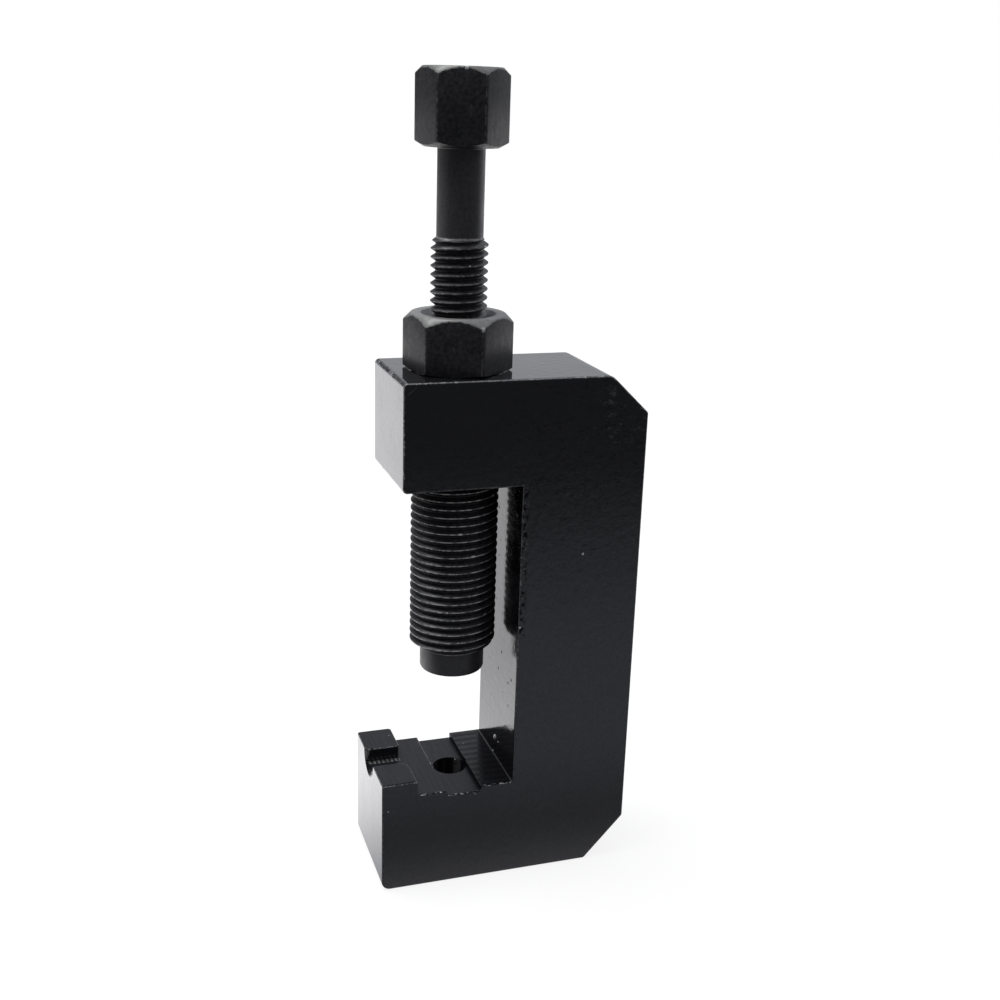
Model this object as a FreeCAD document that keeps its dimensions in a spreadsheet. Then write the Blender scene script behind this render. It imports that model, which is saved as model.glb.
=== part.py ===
import FreeCAD, Part

import os
import re

import Sketcher
from FreeCAD import Placement, Rotation, Vector

# Chain breaker: a C-shaped frame, a hollow main screw through its upper arm, and a
# push screw inside that, which drives a collared pin down through the chain.
# The origin is the mouth of the pin hole in the base plane, on the screw axis.
# +Z is up the screws, +X runs from the open side to the spine, Y is across.
# Screw threads are plain cylinders at their major diameter.

SIZES = {
    # frame, side view
    "frame_width": 22.0,
    "frame_height": 97.0,
    "arm_reach": 12.4,
    "arm_thickness": 19.3,
    "spine_clearance": 9.3,
    "spine_thickness": 23.2,
    "jaw_reach": 15.9,
    "jaw_length": 6.7,
    "jaw_height": 22.0,
    "platform_height": 19.1,
    "saddle_height": 18.2,
    "saddle_front": 3.7,
    "saddle_back": 3.1,
    "saddle_slope": 0.5,
    "ledge_height": 19.2,
    "top_bevel_run": 7.3,
    "top_bevel_drop": 7.0,
    "foot_bevel_run": 7.7,
    "foot_bevel_rise": 8.4,
    # jaw slot between the pads and the flare at its front end
    "near_pad_width": 7.9,
    "far_pad_width": 7.55,
    "slot_floor_height": 19.4,
    "slot_near_slope": 1.5,
    "flare_radius": 3.9,
    "flare_inner_radius": 2.5,
    "flare_depth": 1.0,
    "flare_shift": 0.7,
    # holes in the frame
    "pin_hole_diameter": 6.4,
    "thread_hole_bevel": 0.9,
    # rounded edges of the frame
    "pad_round": 2.0,
    "far_pad_round": 0.7,
    "cross_round": 0.8,
    "foot_round": 1.6,
    "bevel_round": 2.5,
    "edge_round": 0.4,
    "pad_top_round": 0.3,
    # hollow main screw
    "main_thread_diameter": 16.0,
    "main_hex": 17.0,
    "main_hex_turn": 40.0,
    "main_foot_angle": 13.0,
    "main_foot_inset": 0.2,
    "main_head_height": 9.8,
    "main_shank_length": 57.2,
    "nose_diameter": 12.0,
    "nose_length": 4.5,
    "nose_bevel": 0.5,
    "nose_wall": 3.0,
    "countersink_diameter": 13.3,
    "chamber_diameter": 8.6,
    "chamber_length": 10.0,
    # push screw
    "push_thread_diameter": 10.0,
    "push_hex": 13.9,
    "push_hex_turn": 43.0,
    "push_foot_angle": 30.0,
    "push_foot_inset": 0.6,
    "push_head_height": 12.8,
    "push_standoff": 27.75,
    "push_neck_diameter": 8.15,
    "push_neck_length": 14.85,
    "push_tip_diameter": 7.0,
    "push_tip_length": 2.0,
    # extractor pin
    "pin_diameter": 5.0,
    "pin_recess": 1.0,
    "pin_tip_bevel": 0.4,
    "collar_diameter": 8.0,
    "collar_height": 3.0,
    "collar_bevel": 0.3,
    # return spring
    "spring_length": 35.0,
    "spring_wire": 0.8,
    "spring_diameter": 8.0,
    "spring_turns": 6.5,
    # clearances, and the bevel at the top of both hexagons
    "seat_gap": 0.05,
    "thread_fit": 0.05,
    "pin_fit": 0.05,
    "hex_top_angle": 45.0,
    "hex_top_inset": 0.2,
}

# Directions of the corners of the spring's wire, in degrees.
WIRE_CORNERS = [90.0 + 72.0 * corner for corner in range(5)]

doc = FreeCAD.newDocument("chain_breaker")
sheet = doc.addObject("Spreadsheet::Sheet", "Sizes")
for row, (alias, number) in enumerate(SIZES.items(), start=1):
    sheet.set(f"A{row}", alias)
    sheet.set(f"B{row}", str(number))
    sheet.setAlias(f"B{row}", alias)
doc.recompute()


def size(formula):
    """The value of a formula of the sheet's names, in millimetres."""
    return float(sheet.evalExpression(formula))


def tied(formula):
    """The same formula, written for an object outside the sheet."""
    return re.sub("[a-z_]+", lambda word: "Sizes." + word[0] if word[0] in SIZES else word[0], formula)


def new_body(label, rise="0", turn="0"):
    """A body named for its piece, set at a height on the screw axis and turned about it."""
    body = doc.addObject("PartDesign::Body", label)
    body.Label = label
    body.Placement = Placement(Vector(0, 0, size(rise)), Rotation(Vector(0, 0, 1), size(turn)))
    body.setExpression("Placement.Base.z", tied(rise))
    body.setExpression("Placement.Rotation.Angle", tied(turn))
    return body


def new_sketch(body, name, plane, shift_up="0", shift_off="0"):
    """A sketch on one of the body's own origin planes, shifted up within it and off it."""
    sketch = body.newObject("Sketcher::SketchObject", name)
    origin_plane = next(item for item in body.Origin.OriginFeatures if item.Role == plane)
    sketch.AttachmentSupport = [(origin_plane, "")]
    sketch.MapMode = "FlatFace"
    for along, shift in (("y", shift_up), ("z", shift_off)):
        if shift != "0":
            sketch.setExpression(f"AttachmentOffset.Base.{along}", tied(shift))
    return sketch


def hold(sketch, kind, geometry, formula):
    """Tie one coordinate of a line's first point, or set it on the axis where it is zero."""
    if formula == "0":
        axis = -2 if kind == "DistanceX" else -1
        sketch.addConstraint(Sketcher.Constraint("PointOnObject", geometry, 1, axis))
        return
    index = sketch.addConstraint(Sketcher.Constraint(kind, -1, 1, geometry, 1, size(formula)))
    sketch.setExpression(f"Constraints[{index}]", tied(formula))


def outline(sketch, corners):
    """A closed outline of straight lines through corners given as pairs of formulas."""
    points = [Vector(size(across), size(up), 0) for across, up in corners]
    first = sketch.GeometryCount
    count = len(points)
    for number, point in enumerate(points):
        sketch.addGeometry(Part.LineSegment(point, points[(number + 1) % count]), False)
    for number in range(count):
        following = first + (number + 1) % count
        sketch.addConstraint(Sketcher.Constraint("Coincident", first + number, 2, following, 1))
    for number, (across, up) in enumerate(corners):
        hold(sketch, "DistanceX", first + number, across)
        hold(sketch, "DistanceY", first + number, up)


def circle(sketch, diameter):
    """A circle about the sketch's origin."""
    number = sketch.addGeometry(Part.Circle(Vector(0, 0, 0), Vector(0, 0, 1), size(diameter) / 2), False)
    sketch.addConstraint(Sketcher.Constraint("Coincident", number, 3, -1, 1))
    index = sketch.addConstraint(Sketcher.Constraint("Diameter", number, size(diameter)))
    sketch.setExpression(f"Constraints[{index}]", tied(diameter))


def settled(body, feature, adds):
    """Recompute the body and make sure that the feature added or removed material."""
    before = body.BaseFeatureVolume if hasattr(body, "BaseFeatureVolume") else 0.0
    doc.recompute()
    after = body.Shape.Volume
    grown = after > before if adds else after < before
    if not grown:
        raise RuntimeError(f"{body.Label}: {feature.Name} leaves {before:.3f} at {after:.3f}")
    if not hasattr(body, "BaseFeatureVolume"):
        body.addProperty("App::PropertyFloat", "BaseFeatureVolume")
    body.BaseFeatureVolume = after
    return feature


def turned(body, name, corners):
    """A solid of revolution about the body's Z axis, from its half outline (radius, height)."""
    sketch = new_sketch(body, name + "_outline", "XZ_Plane")
    outline(sketch, corners)
    feature = body.newObject("PartDesign::Revolution", name)
    feature.Profile = sketch
    feature.ReferenceAxis = (sketch, ["V_Axis"])
    feature.Angle = 360.0
    return settled(body, feature, adds=True)


def bored(body, name, corners):
    """A cut of revolution about the body's Z axis, from its half outline (radius, height)."""
    sketch = new_sketch(body, name + "_outline", "XZ_Plane")
    outline(sketch, corners)
    feature = body.newObject("PartDesign::Groove", name)
    feature.Profile = sketch
    feature.ReferenceAxis = (sketch, ["V_Axis"])
    feature.Angle = 360.0
    return settled(body, feature, adds=False)


def hexagon_cut(body, name, flats, outside):
    """Cut a round head, which stands above the body's XY plane, down to a hexagon."""
    sketch = new_sketch(body, name + "_outline", "XY_Plane")
    circle(sketch, outside)
    corner = f"{flats} / sqrt(3)"
    outline(sketch, [
        (f"{corner}", "0"),
        (f"{corner} / 2", f"{flats} / 2"),
        (f"0 - {corner} / 2", f"{flats} / 2"),
        (f"0 - {corner}", "0"),
        (f"0 - {corner} / 2", f"0 - {flats} / 2"),
        (f"{corner} / 2", f"0 - {flats} / 2"),
    ])
    feature = body.newObject("PartDesign::Pocket", name)
    feature.Profile = sketch
    feature.Type = "ThroughAll"
    feature.Reversed = True
    return settled(body, feature, adds=False)


def rounded(body, name, radius, chosen):
    """Round the edges of the body that the test picks."""
    base = body.Tip
    names = [f"Edge{number}" for number, edge in enumerate(base.Shape.Edges, start=1) if chosen(edge)]
    if not names:
        raise RuntimeError(f"{body.Label}: {name} finds no edge")
    feature = body.newObject("PartDesign::Fillet", name)
    feature.Base = (base, names)
    feature.setExpression("Radius", tied(radius))
    return settled(body, feature, adds=False)


def close(first, second):
    return abs(first - second) < 1e-4


def lies(edge, axis, value):
    """True where the whole edge has this coordinate."""
    box = edge.BoundBox
    low, high = getattr(box, axis + "Min"), getattr(box, axis + "Max")
    return close(low, value) and close(high, value)


# Frame: the C in side view, then the jaw's slot, the holes and the rounded edges.
frame = new_body("frame")
side = new_sketch(frame, "side_outline", "XZ_Plane")
outline(side, [
    ("0 - jaw_reach", "0"),
    ("spine_clearance + spine_thickness - foot_bevel_run", "0"),
    ("spine_clearance + spine_thickness", "foot_bevel_rise"),
    ("spine_clearance + spine_thickness", "frame_height - top_bevel_drop"),
    ("spine_clearance + spine_thickness - top_bevel_run", "frame_height"),
    ("0 - arm_reach", "frame_height"),
    ("0 - arm_reach", "frame_height - arm_thickness"),
    ("spine_clearance", "frame_height - arm_thickness"),
    ("spine_clearance", "ledge_height"),
    ("saddle_back", "ledge_height"),
    ("saddle_back", "saddle_height"),
    ("saddle_slope - saddle_front", "saddle_height"),
    ("0 - saddle_front", "platform_height"),
    ("jaw_length - jaw_reach", "platform_height"),
    ("jaw_length - jaw_reach", "jaw_height"),
    ("0 - jaw_reach", "jaw_height"),
])
block = frame.newObject("PartDesign::Pad", "block")
block.Profile = side
block.setExpression("Length", tied("frame_width"))
block.Midplane = True
settled(frame, block, adds=True)

# The slot leaves two pads standing on the jaw. Its far wall is upright, its near wall leans,
# and its floor is a little above the platform.
slot_outline = new_sketch(frame, "slot_outline", "YZ_Plane")
slot_near = "near_pad_width - frame_width / 2"
slot_far = "frame_width / 2 - far_pad_width"
outline(slot_outline, [
    (f"{slot_near} + slot_near_slope", "slot_floor_height"),
    (slot_far, "slot_floor_height"),
    (slot_far, "jaw_height * 2"),
    (slot_near, "jaw_height * 2"),
    (slot_near, "jaw_height"),
])
slot = frame.newObject("PartDesign::Pocket", "slot")
slot.Profile = slot_outline
slot.Type = "ThroughAll"
slot.Reversed = False
settled(frame, slot, adds=False)

# The slot's front end flares out as a cone about a line level with the pads' tops.
flare_outline = new_sketch(frame, "flare_outline", "XZ_Plane", "jaw_height", "0 - flare_shift")
outline(flare_outline, [
    ("0 - jaw_reach - flare_depth", "0"),
    ("flare_depth - jaw_reach", "0"),
    ("flare_depth - jaw_reach", "flare_inner_radius"),
    ("0 - jaw_reach - flare_depth", "flare_radius * 2 - flare_inner_radius"),
])
flare = frame.newObject("PartDesign::Groove", "flare")
flare.Profile = flare_outline
flare.ReferenceAxis = (flare_outline, ["H_Axis"])
flare.Angle = 360.0
settled(frame, flare, adds=False)

thread_radius = "main_thread_diameter / 2 + thread_fit"
arm_underside = "frame_height - arm_thickness"
bored(frame, "thread_hole", [
    ("0", "frame_height + thread_hole_bevel"),
    (f"{thread_radius} + thread_hole_bevel * 2", "frame_height + thread_hole_bevel"),
    (thread_radius, "frame_height - thread_hole_bevel"),
    (thread_radius, f"{arm_underside} + thread_hole_bevel"),
    (f"{thread_radius} + thread_hole_bevel * 2", f"{arm_underside} - thread_hole_bevel"),
    ("0", f"{arm_underside} - thread_hole_bevel"),
])
bored(frame, "pin_hole", [
    ("0", "0 - saddle_height / 2"),
    ("pin_hole_diameter / 2", "0 - saddle_height / 2"),
    ("pin_hole_diameter / 2", "jaw_height"),
    ("0", "jaw_height"),
])

half_width = size("frame_width / 2")
jaw_back = size("jaw_length - jaw_reach")
seat_low = size("saddle_height")
seat_high = size("jaw_height")


def near_pad_corner(edge):
    """The corner of the pad on the -Y side that faces the slot and the platform."""
    box = edge.BoundBox
    in_slot = close(box.ZMin, size("slot_floor_height")) and close(box.ZMax, seat_high)
    return lies(edge, "X", jaw_back) and in_slot and box.YMax < size(slot_far) - 0.01


def far_pad_corners(edge):
    """The two upright corners of the pad on the +Y side that face the platform."""
    box = edge.BoundBox
    upright = lies(edge, "Y", size(slot_far)) or lies(edge, "Y", half_width)
    return upright and lies(edge, "X", jaw_back) and close(box.ZMax, seat_high)


def on_a_side(edge):
    return lies(edge, "Y", half_width) or lies(edge, "Y", -half_width)


def at_corner(edge, place, height):
    """True for the edge across the frame at this corner of its side outline."""
    return lies(edge, "X", size(place)) and lies(edge, "Z", size(height))


def foot_cross(edge):
    """The lower front corner of the jaw."""
    return at_corner(edge, "0 - jaw_reach", "0")


def bevel_cross(edge):
    """The corner where the top meets its bevel."""
    return at_corner(edge, "spine_clearance + spine_thickness - top_bevel_run", "frame_height")


def outer_cross(edge):
    """The other corners of the outer outline, apart from the seat and the throat."""
    back = "spine_clearance + spine_thickness"
    corners = [
        ("0 - arm_reach", "frame_height"),
        ("0 - arm_reach", arm_underside),
        (back, "frame_height - top_bevel_drop"),
        (back, "foot_bevel_rise"),
        (f"{back} - foot_bevel_run", "0"),
    ]
    return any(at_corner(edge, place, height) for place, height in corners)


def side_rim(edge):
    """The side outlines, apart from the seat."""
    box = edge.BoundBox
    seat = box.ZMin > seat_low - 0.01 and box.ZMax < seat_high + 0.01
    return on_a_side(edge) and not seat


def pad_rim(edge):
    """The edges round the tops of the two pads."""
    return lies(edge, "Z", seat_high)


rounded(frame, "near_pad_corners", "pad_round", near_pad_corner)
rounded(frame, "far_pad_corners", "far_pad_round", far_pad_corners)
rounded(frame, "foot_corner", "foot_round", foot_cross)
rounded(frame, "bevel_corner", "bevel_round", bevel_cross)
rounded(frame, "cross_corners", "cross_round", outer_cross)
rounded(frame, "side_rims", "edge_round", side_rim)
rounded(frame, "pad_rims", "pad_top_round", pad_rim)

# Hollow main screw: hexagon head on the frame, threaded shank, plain nose at the end.
# Heights are from the underside of the head.
main_screw = new_body("main_screw", "frame_height + seat_gap", "main_hex_turn")
main_corner = "main_hex / sqrt(3)"
main_top_bevel = f"({main_corner} - main_hex / 2 + hex_top_inset) * tan(hex_top_angle * 1 deg)"
main_foot_bevel = f"({main_corner} - main_hex / 2 + main_foot_inset) * tan(main_foot_angle * 1 deg)"
nose_step = "(main_thread_diameter - nose_diameter) / 2"
turned(main_screw, "main_blank", [
    ("0", "main_head_height"),
    ("main_hex / 2 - hex_top_inset", "main_head_height"),
    (main_corner, f"main_head_height - {main_top_bevel}"),
    (main_corner, main_foot_bevel),
    ("main_hex / 2 - main_foot_inset", "0"),
    ("main_thread_diameter / 2", "0"),
    ("main_thread_diameter / 2", f"nose_length + {nose_step} - main_shank_length"),
    ("nose_diameter / 2", "nose_length - main_shank_length"),
    ("nose_diameter / 2", "nose_bevel - main_shank_length"),
    ("nose_diameter / 2 - nose_bevel", "0 - main_shank_length"),
    ("0", "0 - main_shank_length"),
])
hexagon_cut(main_screw, "main_hexagon", "main_hex", "main_hex * 2")
push_bore = "push_thread_diameter / 2 + thread_fit"
chamber_floor = "nose_wall - main_shank_length"
bored(main_screw, "main_bore", [
    ("0", "main_head_height + countersink_diameter / 2"),
    ("countersink_diameter", "main_head_height + countersink_diameter / 2"),
    (push_bore, f"main_head_height - countersink_diameter / 2 + {push_bore}"),
    (push_bore, f"{chamber_floor} + chamber_length"),
    ("chamber_diameter / 2", f"{chamber_floor} + chamber_length"),
    ("chamber_diameter / 2", chamber_floor),
    ("pin_diameter / 2 + pin_fit", chamber_floor),
    ("pin_diameter / 2 + pin_fit", "0 - main_shank_length - nose_bevel"),
    ("0", "0 - main_shank_length - nose_bevel"),
])

# Heights above the base plane at which the inner pieces stand, from the nose up.
nose_tip = "frame_height + seat_gap - main_shank_length"
spring_foot = f"{nose_tip} + nose_wall + seat_gap"
collar_foot = f"{spring_foot} + spring_length + seat_gap"
push_tip = f"{collar_foot} + collar_height + seat_gap"
push_seat = "frame_height + seat_gap + main_head_height + push_standoff"

# Return spring: an open coil between the floor of the main screw's bore and the collar.
# Its wire is five-sided, which is as round as a wire this thin needs to be.
return_spring = new_body("return_spring", spring_foot)
wire = new_sketch(return_spring, "wire_section", "XZ_Plane")
outline(wire, [
    (f"(spring_diameter - spring_wire) / 2 + spring_wire / 2 * cos({angle} deg)",
     f"spring_wire / 2 + spring_wire / 2 * sin({angle} deg)")
    for angle in WIRE_CORNERS
])
coil = return_spring.newObject("PartDesign::AdditiveHelix", "coil")
coil.Profile = wire
coil.ReferenceAxis = (wire, ["V_Axis"])
coil.Mode = "height-turns-growth"
coil.setExpression("Height", tied("spring_length - spring_wire"))
coil.setExpression("Turns", tied("spring_turns"))
coil.Growth = 0
settled(return_spring, coil, adds=True)

# Extractor pin: a plain shaft with a collar at its top, heights from the collar's foot.
extractor_pin = new_body("extractor_pin", collar_foot)
pin_tip = f"{nose_tip} + pin_recess - ({collar_foot})"
turned(extractor_pin, "pin", [
    ("0", "collar_height"),
    ("collar_diameter / 2 - collar_bevel", "collar_height"),
    ("collar_diameter / 2", "collar_height - collar_bevel"),
    ("collar_diameter / 2", "0"),
    ("pin_diameter / 2", "0"),
    ("pin_diameter / 2", f"{pin_tip} + pin_tip_bevel"),
    ("pin_diameter / 2 - pin_tip_bevel", pin_tip),
    ("0", pin_tip),
])

# Push screw: hexagon head, neck at the root diameter, thread, and a plain tip on the
# pin's collar. Heights are from the underside of the head.
push_screw = new_body("push_screw", push_seat, "push_hex_turn")
push_corner = "push_hex / sqrt(3)"
push_top_bevel = f"({push_corner} - push_hex / 2 + hex_top_inset) * tan(hex_top_angle * 1 deg)"
push_foot_bevel = f"({push_corner} - push_hex / 2 + push_foot_inset) * tan(push_foot_angle * 1 deg)"
push_end = f"{push_tip} - ({push_seat})"
tip_step = "(push_thread_diameter - push_tip_diameter) / 2"
turned(push_screw, "push_blank", [
    ("0", "push_head_height"),
    ("push_hex / 2 - hex_top_inset", "push_head_height"),
    (push_corner, f"push_head_height - {push_top_bevel}"),
    (push_corner, push_foot_bevel),
    ("push_hex / 2 - push_foot_inset", "0"),
    ("push_neck_diameter / 2", "0"),
    ("push_neck_diameter / 2", "0 - push_neck_length"),
    ("push_thread_diameter / 2", "push_neck_diameter / 2 - push_thread_diameter / 2 - push_neck_length"),
    ("push_thread_diameter / 2", f"{push_end} + push_tip_length + {tip_step}"),
    ("push_tip_diameter / 2", f"{push_end} + push_tip_length"),
    ("push_tip_diameter / 2", push_end),
    ("0", push_end),
])
hexagon_cut(push_screw, "push_hexagon", "push_hex", "push_hex * 2")

pieces = [frame, main_screw, return_spring, extractor_pin, push_screw]
doc.recompute()
for item in doc.Objects:
    if "Invalid" in item.State or "Error" in item.State:
        raise RuntimeError(f"{item.Name} is not well formed: {item.State}")
for piece in pieces:
    if piece.Shape.isNull() or not piece.Shape.isValid():
        raise RuntimeError(f"{piece.Label} has no valid shape")

os.makedirs("parts", exist_ok=True)
for piece in pieces:
    piece.Shape.exportStep(f"parts/{piece.Label}.step")
    box = piece.Shape.BoundBox
    print(f"{piece.Label}: {piece.Shape.Volume:.1f} mm3, {len(piece.Shape.Solids)} solid,"
          f" z {box.ZMin:.2f} to {box.ZMax:.2f}, x {box.XMin:.2f} to {box.XMax:.2f}")
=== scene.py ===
import math
from collections import namedtuple

import bmesh
import bpy
from mathutils import Matrix, Vector


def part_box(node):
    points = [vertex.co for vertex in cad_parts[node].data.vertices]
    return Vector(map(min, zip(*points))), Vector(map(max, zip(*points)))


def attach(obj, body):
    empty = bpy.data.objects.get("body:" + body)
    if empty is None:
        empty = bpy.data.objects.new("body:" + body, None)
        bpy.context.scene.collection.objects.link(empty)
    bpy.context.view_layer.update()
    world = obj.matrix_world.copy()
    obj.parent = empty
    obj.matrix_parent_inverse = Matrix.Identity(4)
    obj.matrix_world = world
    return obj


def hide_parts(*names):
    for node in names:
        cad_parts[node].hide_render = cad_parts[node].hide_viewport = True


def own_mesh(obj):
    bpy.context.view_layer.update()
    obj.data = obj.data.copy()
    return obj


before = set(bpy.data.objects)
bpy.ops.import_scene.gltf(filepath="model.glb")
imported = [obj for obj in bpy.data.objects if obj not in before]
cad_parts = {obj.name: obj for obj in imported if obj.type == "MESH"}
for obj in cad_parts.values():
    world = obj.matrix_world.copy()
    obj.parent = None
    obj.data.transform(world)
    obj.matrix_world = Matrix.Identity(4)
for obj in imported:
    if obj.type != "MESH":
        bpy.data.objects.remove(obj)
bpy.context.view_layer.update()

# Sizes in metres. Those of the frame and the screws repeat the CAD's named sizes.
MM = 0.001
FRAME = {
    "half_width": 11.0 * MM,
    "top": 97.0 * MM,
    "jaw_front": -15.9 * MM,
    "pad_top": 22.0 * MM,
    "pad_back": -9.2 * MM,
    "platform": 19.1 * MM,
    "saddle_front": -3.7 * MM,
    "slot_far": 3.45 * MM,
    "ledge_front": 3.1 * MM,
    "ledge": 19.2 * MM,
    "spine_face": 9.3 * MM,
}
MAIN = {
    "flats": 17.0 * MM,
    "turn": math.radians(40.0),
    "head": 9.8 * MM,
    "head_top": 106.85 * MM,
    "foot_inset": 0.2 * MM,
    "foot_slope": math.tan(math.radians(13.0)),
    "thread": 8.0 * MM,
    "crest": 0.0,
    "nose": 6.0 * MM,
    "nose_length": 4.5 * MM,
    "nose_bevel": 0.5 * MM,
    "nose_run_out": 1.6,
    "countersink": 6.65 * MM,
    "bore": 5.05 * MM,
    "chamber": 4.3 * MM,
    "chamber_length": 10.0 * MM,
    "nose_wall": 3.0 * MM,
    "pin_bore": 2.55 * MM,
}
PUSH = {
    "flats": 13.9 * MM,
    "turn": math.radians(43.0),
    "head": 12.8 * MM,
    "head_top": 147.4 * MM,
    "foot_inset": 0.6 * MM,
    "foot_slope": math.tan(math.radians(30.0)),
    "thread": 5.0 * MM,
    "crest": 0.15 * MM,
    "neck": 4.075 * MM,
    "neck_length": 14.85 * MM,
    "neck_round": 0.25 * MM,
    "neck_run_out": 1.2,
    "tip": 3.5 * MM,
    "tip_length": 2.0 * MM,
    "tip_bevel": 0.3 * MM,
}
PITCH = 1.5 * MM
THREAD_DEPTH = 0.88 * MM
# The bevel on top of a head starts this far inside its flats and falls at this slope.
TOP_INSET = 0.2 * MM
TOP_SLOPE = 1.0
# Small rounds that only the pieces built here have, and how many columns a turned form is divided into.
CORNER_SOFTENING = 0.07 * MM
HEAD_ROUND = 0.08 * MM
RIM_ROUND = 0.1 * MM
CREST_RELIEF = 0.02 * MM
COLUMNS = 120

SPRING_WIRE = 0.4 * MM
SPRING_TURNS = 6.5
SPRING_END_TURN = 0.75
SPRING_STEPS = 44
WIRE_SIDES = 12

# Beads on the spine's inner face: how deep and how high each lies, and its radius.
BEADS = [
    (0.23 * MM, 22.98 * MM, 0.48 * MM),
    (-1.69 * MM, 22.89 * MM, 0.17 * MM),
    (1.17 * MM, 19.5 * MM, 0.17 * MM),
]
BEAD_SHAPE = (0.7, 1.0, 1.15, 1.0)

# How each screw's oxide is worn, and where light is painted on it. plain_end is the height where its thread
# meets the nose or the neck. The head's top is worn to bevel_tone, from the radius bevel_from on and in full
# from bevel_full. crest_share is how much of the crests' pale shows, a pale that is partly worn metal and
# partly painted highlight; the share after it is how much of that pale is left on the side towards the spine,
# where painted shade fades it. The nick lies this far across, deep and below the head's top.
MAIN_WEAR_AND_PAINTED_LIGHT = {
    "plain_end": 44.4 * MM,
    "bevel_tone": 0.20,
    "bevel_from": 6.55 * MM,
    "bevel_full": 6.65 * MM,
    "crest_share": 0.75,
    "shaded_far_share": 0.2,
    "nick": (1.7 * MM, -9.5 * MM, 1.8 * MM),
}
PUSH_WEAR_AND_PAINTED_LIGHT = {
    "plain_end": 119.75 * MM,
    "bevel_tone": 0.12,
    "bevel_from": 4.0 * MM,
    "bevel_full": 6.5 * MM,
    "crest_share": 0.35,
    "shaded_far_share": 0.7,
    "nick": (-1.4 * MM, -6.8 * MM, 0.5 * MM),
}
NICK_RADIUS = 0.4 * MM

# Marks on the frame's near side: how far across and how high each lies, and its radius.
SIDE_NIBS = [
    (21.2 * MM, 64.2 * MM, 0.28 * MM),
    (9.6 * MM, 50.9 * MM, 0.26 * MM),
    (1.9 * MM, 17.9 * MM, 0.16 * MM),
    (-14.8 * MM, 16.7 * MM, 0.16 * MM),
]
SCUFFED = (27.0 * MM, 90.0 * MM, 7.0 * MM)
# A scratch there: its slope, its height at the screws' axis, and how far across it starts and ends.
SCRATCH_SLOPE = 0.786
SCRATCH_HEIGHT = 104.29 * MM
SCRATCH_ENDS = (-11.7 * MM, -10.3 * MM)
# Heights between which the side's edge at the throat is frayed.
FRAYED = (50.0 * MM, 77.0 * MM)
# A nick beside the pin hole: how far across and how deep it lies, and its radius.
SEAT_NICK = (-3.45 * MM, 0.2 * MM, 0.40 * MM)
# Wavelengths of the scallops on the ledge and of the chatter marks on the slot's floor.
CUTTER_PITCH = 2.0 * MM
CHATTER_PITCH = 0.85 * MM

# Colours, as shares of red, green and blue light.
COATING = (0.0082, 0.0084, 0.0106)
# The grey paints highlights along edges as well as real marks; the pale paints glints as well as worn edges
# and dust.
COATING_GREY = (0.16, 0.16, 0.16)
COATING_PALE = (0.55, 0.55, 0.55)
COATING_NIB = (0.75, 0.74, 0.72)
OXIDE_DARK = (0.013, 0.013, 0.0155)
OXIDE_LIGHT = (0.038, 0.038, 0.0420)
OXIDE_TURNED = (0.066, 0.066, 0.069)
# The crests' pale is partly worn metal and partly painted highlight.
OXIDE_CREST_WEAR_AND_HIGHLIGHT = (0.88, 0.88, 0.86)
# The pale of a painted highlight along the edge just below a head's bevel.
OXIDE_LIP_HIGHLIGHT = (0.26, 0.26, 0.255)
OXIDE_NICK = (0.60, 0.60, 0.59)
OXIDE_NIB = (0.80, 0.79, 0.76)
PIN_STEEL = (0.45, 0.45, 0.46)
SPRING_STEEL = (0.32, 0.32, 0.33)
BEAD_DULL = (0.60, 0.58, 0.55)
BEAD_BRIGHT = (0.95, 0.94, 0.92)
FLOOR_PAPER = (0.18, 0.18, 0.18)
FLOOR_MIRRORED_NEAR = (0.91, 0.94, 1.04)
FLOOR_MIRRORED_FAR = (0.99, 0.985, 1.01)
WORLD_LIGHT = (0.92, 0.94, 1.0)
WORLD_SEEN = (1.0, 1.0, 1.0)

CAMERA_PLACE = (-0.0626, -0.2119, 0.1427)
CAMERA_TURN = (72.43, -1.704, -18.064)
CAMERA_LENS = 45.76
CAMERA_SENSOR = 36.0
LAMP_PLACE = (-0.25, 0.15, 0.9)
LAMP_AIM = (0.0, 0.0, 0.05)
LAMP_WIDTH = 0.7
LAMP_POWER = 8.0
FLOOR_REACH = 3.0


def new_object(name, mesh_data):
    """An object of this data, linked into the scene."""
    piece = bpy.data.objects.new(name, mesh_data)
    bpy.context.scene.collection.objects.link(piece)
    return piece


def angle_of(column):
    """The angle of one of the columns that a turned form is divided into."""
    return 2.0 * math.pi * column / COLUMNS


def ring(mesh, radius, height):
    """A closed ring of vertices. Radius and height are numbers or functions of the angle."""
    made = []
    for column in range(COLUMNS):
        angle = angle_of(column)
        out = radius(angle) if callable(radius) else radius
        up = height(angle) if callable(height) else height
        made.append(mesh.verts.new((out * math.cos(angle), out * math.sin(angle), up)))
    return made


def face_between(mesh, corners):
    """A face through the corners that differ, or none where fewer than three do."""
    kept = [corner for place, corner in enumerate(corners) if corner not in corners[:place]]
    if len(kept) > 2:
        mesh.faces.new(kept)


def bridge(mesh, rings):
    """Faces between each ring and the next."""
    for upper, lower in zip(rings, rings[1:]):
        for column in range(COLUMNS):
            beside = (column + 1) % COLUMNS
            face_between(mesh, [upper[column], lower[column], lower[beside], upper[beside]])


def hexagon(flats, turn):
    """The distance from the axis to a hexagon with slightly softened corners."""
    corner = flats / math.sqrt(3.0)

    def radius(angle):
        within = (angle - turn) % (math.pi / 3.0)
        return min(flats / 2.0 / math.cos(within - math.pi / 6.0), corner - CORNER_SOFTENING)

    return radius


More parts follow.
